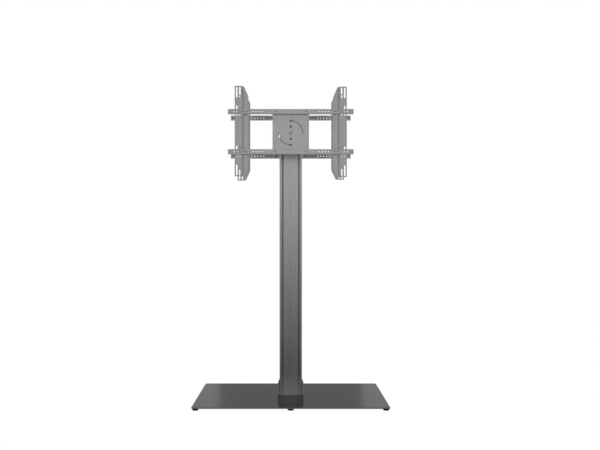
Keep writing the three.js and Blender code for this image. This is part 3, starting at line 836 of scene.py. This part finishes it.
def cheek_bolt(hand, side, end):
    """A countersunk socket bolt along X, with its head flush in the cheek."""
    node = "cheek_bolt_%s_%s" % (hand, end)
    low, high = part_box(node)
    middle = (low + high) / 2
    radius = (high.z - low.z) / 2
    length = high.x - low.x
    socket = hexagon(radius * SOCKET_SHARE)
    neck = length - radius * CHEEK_HEAD_SHARE
    levels = [(0, CHEEK_SHANK - THREAD_DEPTH - HEAD_EDGE)]
    levels += thread(HEAD_EDGE, neck, CHEEK_SHANK)
    levels += [(neck, radius), (length - HEAD_EDGE, radius), (length, radius - HEAD_EDGE)]
    levels += [(length, socket), (length - radius * SOCKET_DEPTH_SHARE, socket)]
    inner = low.x if side > 0 else high.x
    along = Matrix(((0, 0, side, inner), (1, 0, 0, middle.y), (0, 1, 0, middle.z), (0, 0, 0, 1)))
    place(node + "_socket_head", turned(levels), along, node)


# Mounts

def access_holes(middle=0):
    """The two holes above and below the pivot."""
    return [circle((middle, side * ACCESS_HOLE_HEIGHT), ACCESS_HOLE_RADIUS) for side in (-1, 1)]


def carriage(prefix):
    """A lipped channel folded from one sheet, with its lips on the column and its front wall outwards."""
    node = prefix + "_carriage"
    low, high = mount_box("front_carriage")
    bend = (CARRIAGE_BEND - CARRIAGE_SHEET / 2) * QUARTER
    lip = CARRIAGE_LIP - CARRIAGE_BEND
    wall = high[2] - low[2] - CARRIAGE_BEND * 2
    sections = channel_sections(lip, wall, high[0] - low[0] - CARRIAGE_BEND * 2, bend)
    total = flat_length(sections)
    corners = [(0, low[1]), (total, low[1]), (total, high[1]), (0, high[1])]
    holes = []
    wall_middle = lip + bend + wall / 2
    half = CARRIAGE_WINDOW[0] / 2
    top = CARRIAGE_WINDOW[1] / 2
    for along in (wall_middle, total - wall_middle):
        corner = (CARRIAGE_WINDOW_CORNER,) * 2
        holes.append(rounded_rectangle((along - half, -top), (along + half, top), corner))
    for height, shank in ((0, PIVOT_SHANK), (GUIDE_RADIUS, GUIDE_SHANK), (-GUIDE_RADIUS, GUIDE_SHANK)):
        holes.append(circle((total / 2, height), shank + HOLE_GAP))
    holes += access_holes(total / 2)
    stud_along = SLOT_SPACING / 2 - (high[0] - CARRIAGE_LIP)
    for along in (stud_along, total - stud_along):
        for height in (-CLAMP_SPACING / 2, CLAMP_SPACING / 2):
            holes.append(circle((along, height), CLAMP_STUD_RADIUS + HOLE_GAP))
    half_sheet = CARRIAGE_SHEET / 2
    sheet = slab(filleted(corners, CARRIAGE_CORNER), holes, -half_sheet, half_sheet, THICK_EDGE)
    start = (low[0] + CARRIAGE_LIP, low[2] + half_sheet)
    channel = folded(sheet, sections, start, math.pi)
    place(node + "_folded", channel, MOUNT_FRAMES[prefix], node)


def hex_face(apothem, height, sense, shares):
    """Levels of a hexagon's chamfered face, from its round flat, up or down, to its full corners."""
    flat_share, turned_share = shares
    corner = apothem / APOTHEM_SHARE
    chamfer = corner - apothem
    edge = sense * chamfer * HEX_EDGE_SHARE
    halfway = hexagon(apothem, corner - chamfer * turned_share)
    return [(height, apothem * flat_share), (height + edge / 2, halfway), (height + edge, hexagon(apothem))]


def hex_nut(apothem, bore, low, high):
    """A chamfered nut round a shank."""
    lower = hex_face(apothem, low, 1, HEX_NUT_SHARES)
    upper = hex_face(apothem, high, -1, HEX_NUT_SHARES)
    return turned([(low, bore)] + lower + upper[::-1] + [(high, bore)])


def block(low, high, bottom, top, holes=()):
    """A steel block between two corners and two heights, with small corners."""
    outline = rounded_rectangle(low, high, (NUT_BLOCK_CORNER, NUT_BLOCK_CORNER), FILLET_STEPS)
    return slab(outline, holes, bottom, top, THICK_EDGE)


def slot_clamp(prefix, hand, side):
    """A clamp bar in the T-slot with two studs and their nuts."""
    node = "%s_slot_clamp_%s" % (prefix, hand)
    low, high = mount_box("front_slot_clamp_" + hand)
    middle = side * SLOT_SPACING / 2
    bar_half = SLOT_CAVITY[0] / 2 - CLAMP_BAR_PLAY
    bar_top = low[2] + CLAMP_BAR_DEPTH
    solids = [block((middle - bar_half, low[1]), (middle + bar_half, high[1]), low[2], bar_top)]
    seat = mount_box("front_carriage")[0][2] + CARRIAGE_SHEET + SEAT_GAP
    for height in (-CLAMP_SPACING / 2, CLAMP_SPACING / 2):
        levels = [(low[2] + CLAMP_BAR_DEPTH / 2, CLAMP_STUD_RADIUS - THREAD_DEPTH)]
        levels += thread(bar_top, high[2] - HEAD_EDGE, CLAMP_STUD_RADIUS)
        levels.append((high[2], CLAMP_STUD_RADIUS - THREAD_DEPTH - HEAD_EDGE))
        solids.append(moved(turned(levels), middle, height))
        nut = hex_nut(CLAMP_NUT_APOTHEM, CLAMP_STUD_RADIUS, seat, seat + NUT_HEIGHT)
        solids.append(moved(nut, middle, height))
    place(node + "_threaded", joined(*solids), MOUNT_FRAMES[prefix], node)


def bearing_disc(prefix):
    """A plastic disc with rounded rims, a hole for the pivot and two access holes."""
    node = prefix + "_bearing_disc"
    low, high = mount_box("front_bearing_disc")
    outline = circle((0, 0), (high[0] - low[0]) / 2, DISC_STEPS)
    holes = [circle((0, 0), PIVOT_SHANK + HOLE_GAP, TURNED_STEPS)] + access_holes()
    disc = slab(outline, holes, low[2], high[2], THICK_EDGE)
    place(node + "_moulded", disc, MOUNT_FRAMES[prefix], node)


def head_bolt(node, source, prefix, shank, head):
    """A dark socket-head bolt in a painted collar, with its nut behind the carriage's front wall."""
    low, high = mount_box(source)
    height = (low[1] + high[1]) / 2
    radius = (high[1] - low[1]) / 2
    head_radius, collar_height = head
    seat = high[2] - HEAD_HEIGHT
    collar_top = seat + collar_height
    rim = radius - HEAD_EDGE
    collar = turned([(seat, shank), (seat, rim), (seat + HEAD_EDGE, radius),
                     (collar_top - HEAD_EDGE, radius), (collar_top, rim), (collar_top, shank)])
    place(node + "_collar", moved(collar, 0, height, 0), MOUNT_FRAMES[prefix], node)
    socket = hexagon(head_radius * SOCKET_SHARE)
    nut_high = mount_box("front_carriage")[1][2] - CARRIAGE_SHEET - SEAT_GAP
    nut_low = nut_high - NUT_HEIGHT
    levels = [(low[2], shank - THREAD_DEPTH - HEAD_EDGE)]
    levels += thread(low[2] + HEAD_EDGE, nut_low, shank)
    levels += [(seat, shank), (collar_top, shank)]
    if head_radius > shank:
        levels.append((collar_top, head_radius))
    edge_middle = (head_radius - HEAD_EDGE, high[2] - HEAD_EDGE)
    levels += as_levels(arc(edge_middle, (HEAD_EDGE, HEAD_EDGE), 0, QUARTER, FILLET_STEPS))
    levels += [(high[2], socket), (high[2] - HEAD_HEIGHT * SOCKET_DEPTH_SHARE, socket)]
    nut = hex_nut(radius * APOTHEM_SHARE, shank - THREAD_DEPTH, nut_low, nut_high)
    bolt = moved(joined(turned(levels), nut), 0, height, 0)
    place(node + "_socket_head", bolt, MOUNT_FRAMES[prefix], node, "dark_bolt")


def centre_plate(prefix):
    """The turning plate, with two curved slots for the guide bolts and four holes for the rails' bolts."""
    node = prefix + "_centre_plate"
    low, high = mount_box("front_centre_plate")
    slot_width = (GUIDE_SHANK + HOLE_GAP) * 2
    holes = [curved_slot(GUIDE_RADIUS, slot_width, start, start + QUARTER) for start in (0, math.pi)]
    holes.append(circle((0, 0), PIVOT_SHANK + HOLE_GAP))
    holes += access_holes()
    for side in (-1, 1):
        for name in ("upper", "lower"):
            holes.append(circle((side * RAIL_BOLT_SPACING / 2, rail_level(name)), SLIDE_SHANK + HOLE_GAP))
    outline = rounded_rectangle(low, high, (HEAD_CORNER, HEAD_CORNER))
    plate = slab(outline, holes, low[2], high[2], SHEET_EDGE)
    place(node + "_coated", plate, MOUNT_FRAMES[prefix], node)


def rail_level(name):
    """How far a rail's middle lies above the pivot."""
    low, high = mount_box("front_rail_" + name)
    return (low[1] + high[1]) / 2


def rail(prefix, name):
    """A channel folded from one strip: its mouth is towards the column, and its holes in the front wall."""
    node = "%s_rail_%s" % (prefix, name)
    low, high = mount_box("front_rail_upper")
    height = high[1] - low[1]
    bend = (RAIL_BEND - RAIL_SHEET / 2) * QUARTER
    lip = (height - RAIL_MOUTH) / 2 - RAIL_BEND
    wall = high[2] - low[2] - RAIL_BEND * 2
    sections = channel_sections(lip, wall, height - RAIL_BEND * 2, bend)
    total = flat_length(sections)
    last = high[0] - PERFORATION_END_INSET
    places = [last - index * PERFORATION_PITCH for index in range(PERFORATION_COUNT)]
    places.append(RAIL_BOLT_SPACING / 2)
    holes = [circle((total / 2, side * along), PERFORATION_RADIUS) for side in (-1, 1) for along in places]
    outline = [(0, low[0]), (total, low[0]), (total, high[0]), (0, high[0])]
    half_sheet = RAIL_SHEET / 2
    sheet = slab(outline, holes, -half_sheet, half_sheet, SHEET_EDGE)
    start = (low[2] + half_sheet, RAIL_MOUTH / 2)
    channel = folded(sheet, sections, start, QUARTER)
    lengthwise = Matrix(((0, 1, 0, 0), (0, 0, 1, rail_level(name)), (1, 0, 0, 0), (0, 0, 0, 1)))
    place(node + "_folded", channel, MOUNT_FRAMES[prefix] @ lengthwise, node)


def slide_bolt(node, source, prefix):
    """A hexagon-headed bolt behind a plate, with its slide nut inside the rail."""
    low, high = mount_box(source)
    head_top = low[2] + HEAD_HEIGHT
    nut_low = mount_box("front_rail_upper")[0][2] + RAIL_SHEET + SEAT_GAP
    levels = [(low[2], SLIDE_HEAD_APOTHEM * HEAD_CENTRE_SHARE)]
    levels += hex_face(SLIDE_HEAD_APOTHEM, low[2], 1, HEX_HEAD_SHARES)
    levels += [(head_top, hexagon(SLIDE_HEAD_APOTHEM)), (head_top, SLIDE_SHANK)]
    levels += thread(nut_low - RAIL_SHEET, high[2] - HEAD_EDGE, SLIDE_SHANK)
    levels.append((high[2], SLIDE_SHANK - THREAD_DEPTH - HEAD_EDGE))
    half_width, half_length = SLIDE_NUT[0] / 2, SLIDE_NUT[1] / 2
    nut = block((-half_width, -half_length), (half_width, half_length), nut_low, nut_low + SLIDE_NUT[2],
                [circle((0, 0), SLIDE_SHANK - THREAD_DEPTH)])
    bolt = moved(joined(turned(levels), nut), (low[0] + high[0]) / 2, (low[1] + high[1]) / 2)
    place(node + "_and_nut", bolt, MOUNT_FRAMES[prefix], node)


def arm(prefix, hand, side):
    """An arm folded from one sheet: outer flange, a step that the rails pass through, and inner plate."""
    node = "%s_arm_%s" % (prefix, hand)
    low, high = mount_box("front_arm_" + hand)
    inner_edge, outer_edge = sorted((abs(low[0]), abs(high[0])))
    arm_middle = (low[1] + high[1]) / 2
    half_sheet = ARM_SHEET / 2
    middle_bend = ARM_BEND - half_sheet
    bend = middle_bend * QUARTER
    flange = ARM_FLANGE_WIDTH - ARM_BEND + half_sheet
    step = high[2] - low[2] - ARM_SHEET - middle_bend * 2
    inner = outer_edge - ARM_FLANGE_WIDTH - inner_edge - middle_bend + half_sheet
    sections = [(flange, 0), (bend, QUARTER), (step, 0), (bend, -QUARTER), (inner, 0)]
    total = flat_length(sections)
    chamfer = total - ARM_CHAMFER[0]
    corners = [
        (0, low[1], ARM_CORNER),
        (chamfer, low[1], ARM_CHAMFER_CORNER),
        (total, low[1] + ARM_CHAMFER[1], ARM_CHAMFER_CORNER),
        (total, high[1] - ARM_CHAMFER[1], ARM_CHAMFER_CORNER),
        (chamfer, high[1], ARM_CHAMFER_CORNER),
        (0, high[1], ARM_CORNER),
    ]
    rail_low, rail_high = mount_box("front_rail_upper")
    window_half = (rail_high[1] - rail_low[1]) / 2 + ARM_WINDOW_PLAY
    window_start = flange - ARM_WINDOW_MARGIN
    window_end = total - inner + ARM_WINDOW_MARGIN
    holes = []
    for name, level in (("upper", 1), ("lower", -1)):
        middle = rail_level(name)
        bottom = (window_start, middle - window_half)
        top = (window_end, middle + window_half)
        holes.append(rounded_rectangle(bottom, top, (ARM_CORNER, ARM_CORNER), FILLET_STEPS))
        holes.append(circle((total - ARM_CLAMP_INSET, middle), SLIDE_SHANK + HOLE_GAP))
        for height, length in DISPLAY_SLOTS:
            for along in DISPLAY_COLUMN_INSETS:
                holes.append(upright_slot(along, arm_middle + level * height, DISPLAY_SLOT_WIDTH, length))
    sheet = slab(filleted(corners, ARM_CORNER, ARC_STEPS), holes, -half_sheet, half_sheet, SHEET_EDGE)
    start = (outer_edge, high[2] - half_sheet)
    plate = folded(sheet, sections, start, math.pi)
    mirrored = Matrix.Scale(side, 4, (1, 0, 0))
    place(node + "_folded", plate, MOUNT_FRAMES[prefix] @ mirrored, node)


def mount(prefix):
    """All the pieces of one mount. Both mounts take their sizes from the front one's nodes."""
    carriage(prefix)
    bearing_disc(prefix)
    centre_plate(prefix)
    head_bolt(prefix + "_pivot_bolt", "front_pivot_bolt", prefix, PIVOT_SHANK, PIVOT_HEAD)
    for name in ("upper", "lower"):
        rail(prefix, name)
        bolt = "_guide_bolt_" + name
        head_bolt(prefix + bolt, "front" + bolt, prefix, GUIDE_SHANK, GUIDE_HEAD)
        for hand in ("left", "right"):
            for kind in ("rail", "arm"):
                bolt = "_%s_bolt_%s_%s" % (kind, name, hand)
                slide_bolt(prefix + bolt, "front" + bolt, prefix)
    for hand, side in (("left", -1), ("right", 1)):
        slot_clamp(prefix, hand, side)
        arm(prefix, hand, side)


def stand():
    base_plate()
    for node in FEET:
        foot(node)
    column()
    cover_strip("front_cover_strip", Matrix())
    cover_strip("rear_cover_strip", HALF_TURN)
    top_cap()
    for hand, side in (("left", -1), ("right", 1)):
        cheek(hand, side)
        for end in ("front", "rear"):
            cheek_bolt(hand, side, end)
    mount("front")
    mount("rear")


# Studio

def seen_rays(tree):
    """1 for rays that see the background: those of the camera, of reflections and of glass."""
    path = tree.nodes.new("ShaderNodeLightPath")
    total = path.outputs["Is Camera Ray"]
    for name in ("Is Glossy Ray", "Is Transmission Ray"):
        node = tree.nodes.new("ShaderNodeMath")
        node.operation = "MAXIMUM"
        tree.links.new(total, node.inputs[0])
        tree.links.new(path.outputs[name], node.inputs[1])
        total = node.outputs[0]
    return total


def empty_tree(holder, output):
    """The emptied node tree of a material or world, and the socket that its surface goes to."""
    holder.use_nodes = True
    tree = holder.node_tree
    tree.nodes.clear()
    return tree, tree.nodes.new(output).inputs["Surface"]


def glow(tree, kind, strength):
    """White light of a strength, from a world or a surface."""
    return new_node(tree, kind, {"Color": WHITE, "Strength": strength}, {}).outputs[0]


def matt(tree, tone):
    """A matt grey surface."""
    return new_node(tree, "ShaderNodeBsdfDiffuse", {"Color": (tone, tone, tone, 1)}, {}).outputs[0]


def mixed(tree, share, first, second):
    """One shader where the share is 0, and another where it is 1."""
    node = tree.nodes.new("ShaderNodeMixShader")
    for index, value in enumerate((share, first, second)):
        tree.links.new(value, node.inputs[index])
    return node.outputs[0]


def world():
    """White where it is seen, and a soft grey light from all round for everything else."""
    background = bpy.data.worlds.new("studio")
    bpy.context.scene.world = background
    tree, surface = empty_tree(background, "ShaderNodeOutputWorld")
    soft = glow(tree, "ShaderNodeBackground", AMBIENT_TONE)
    white = glow(tree, "ShaderNodeBackground", 1)
    tree.links.new(mixed(tree, seen_rays(tree), soft, white), surface)


def stage_object(name, mesh, material):
    """An object of the set, which isn't part of the stand."""
    mesh.materials.append(material)
    thing = bpy.data.objects.new(name, mesh)
    bpy.context.scene.collection.objects.link(thing)
    return thing


def floor_material():
    """Near the stand a white floor that keeps a faint shadow, and further out plain white."""
    material = bpy.data.materials.new("studio_floor")
    tree, surface = empty_tree(material, "ShaderNodeOutputMaterial")
    coordinates = tree.nodes.new("ShaderNodeTexCoord")
    distance = tree.nodes.new("ShaderNodeVectorMath")
    distance.operation = "LENGTH"
    tree.links.new(coordinates.outputs["Object"], distance.inputs[0])
    fade = tree.nodes.new("ShaderNodeMapRange")
    fade.interpolation_type = "SMOOTHSTEP"
    fade.inputs["From Min"].default_value, fade.inputs["From Max"].default_value = FLOOR_FADE
    tree.links.new(distance.outputs["Value"], fade.inputs["Value"])
    shadowed = tree.nodes.new("ShaderNodeAddShader")
    tree.links.new(glow(tree, "ShaderNodeEmission", FLOOR_GLOW), shadowed.inputs[0])
    tree.links.new(matt(tree, FLOOR_TONE), shadowed.inputs[1])
    plain = glow(tree, "ShaderNodeEmission", 1)
    seen = mixed(tree, fade.outputs["Result"], shadowed.outputs[0], plain)
    bounced = matt(tree, FLOOR_BOUNCE_TONE)
    tree.links.new(mixed(tree, seen_rays(tree), bounced, seen), surface)
    return material


def flat_mesh(name, corners, faces=((0, 1, 2, 3),)):
    """A mesh of flat faces, or of one with four corners."""
    mesh = bpy.data.meshes.new(name)
    mesh.from_pydata(corners, [], faces)
    return mesh


def floor():
    half = FLOOR_SIZE / 2
    corners = [(-half, -half, 0), (half, -half, 0), (half, half, 0), (-half, half, 0)]
    stage_object("studio_floor", flat_mesh("studio_floor", corners), floor_material())


def grey_card(name, tone):
    """A surface that shows as one grey in whatever light."""
    material = bpy.data.materials.new(name)
    tree, surface = empty_tree(material, "ShaderNodeOutputMaterial")
    tree.links.new(glow(tree, "ShaderNodeEmission", tone), surface)
    return material


def only_in_reflections(thing):
    """Hides a card of the set from everything but reflections."""
    thing.visible_camera = False
    thing.visible_diffuse = False
    thing.visible_transmission = False
    thing.visible_volume_scatter = False
    thing.visible_shadow = False


def studio_walls():
    """The studio's grey walls, and a darker card in front and behind, which the plate's gloss shows."""
    ring = circle((0, 0), STUDIO_WALL_RADIUS, DISC_STEPS)
    corners = [(x, y, height) for height in (0, STUDIO_WALL_HEIGHT) for x, y in ring]
    faces = []
    for index in range(DISC_STEPS):
        following = (index + 1) % DISC_STEPS
        faces.append((index, following, DISC_STEPS + following, DISC_STEPS + index))
    wall_grey = grey_card("studio_wall_grey", STUDIO_WALL_TONE)
    wall = stage_object("studio_wall", flat_mesh("studio_wall", corners, faces), wall_grey)
    only_in_reflections(wall)
    card_grey = grey_card("studio_card_grey", STUDIO_CARD_TONE)
    half = STUDIO_CARD_HALF
    top = STUDIO_WALL_HEIGHT
    for name, side in (("studio_card_front", -1), ("studio_card_rear", 1)):
        y = side * STUDIO_WALL_RADIUS * STUDIO_CARD_PLACE_SHARE
        corners = [(-half, y, 0), (half, y, 0), (half, y, top), (-half, y, top)]
        card = stage_object(name, flat_mesh(name, corners), card_grey)
        only_in_reflections(card)


def lamp(name, azimuth, lamp_values, beam=MOUNT_BEAM):
    """A soft spotlight from a side. It fades towards its cone's rim."""
    elevation, power = lamp_values
    target_height, cone, radius = beam
    data = bpy.data.lights.new(name, "SPOT")
    data.energy = power
    data.shadow_soft_size = radius
    data.spot_size = cone
    data.spot_blend = LAMP_BLEND
    light = bpy.data.objects.new(name, data)
    turn = math.radians(azimuth)
    rise = math.radians(elevation)
    out = Vector((math.sin(turn) * math.cos(rise), -math.cos(turn) * math.cos(rise), math.sin(rise)))
    light.location = Vector((0, 0, target_height)) + out * LAMP_DISTANCE
    light.rotation_euler = out.to_track_quat("Z", "Y").to_euler()
    light.visible_camera = False
    light.visible_glossy = False
    bpy.context.scene.collection.objects.link(light)


def lamps():
    for side, facing in (("front", 0), ("rear", 180)):
        for hand, turn in (("left", -LAMP_SPREAD), ("right", LAMP_SPREAD)):
            lamp("%s_%s_main_spot" % (side, hand), facing + turn, MAIN_LAMP)
            lamp("%s_%s_low_spot" % (side, hand), facing + turn, LOW_LAMP, COLUMN_BEAM)
        lamp(side + "_high_spot", facing, HIGH_LAMP)
        lamp(side + "_foot_spot", facing, FOOT_LAMP, FOOT_BEAM)
    for side, azimuth in (("left", -90), ("right", 90)):
        lamp(side + "_spot", azimuth, SIDE_LAMP)


def camera():
    data = bpy.data.cameras.new("camera")
    data.lens = CAMERA_LENS
    data.shift_x, data.shift_y = CAMERA_SHIFT
    view = bpy.data.objects.new("camera", data)
    view.location = CAMERA_PLACE
    view.rotation_euler = (QUARTER, 0, 0)
    bpy.context.scene.collection.objects.link(view)
    bpy.context.scene.camera = view


camera()
world()
floor()
studio_walls()
lamps()
stand()
bpy.context.scene.view_settings.view_transform = "Standard"
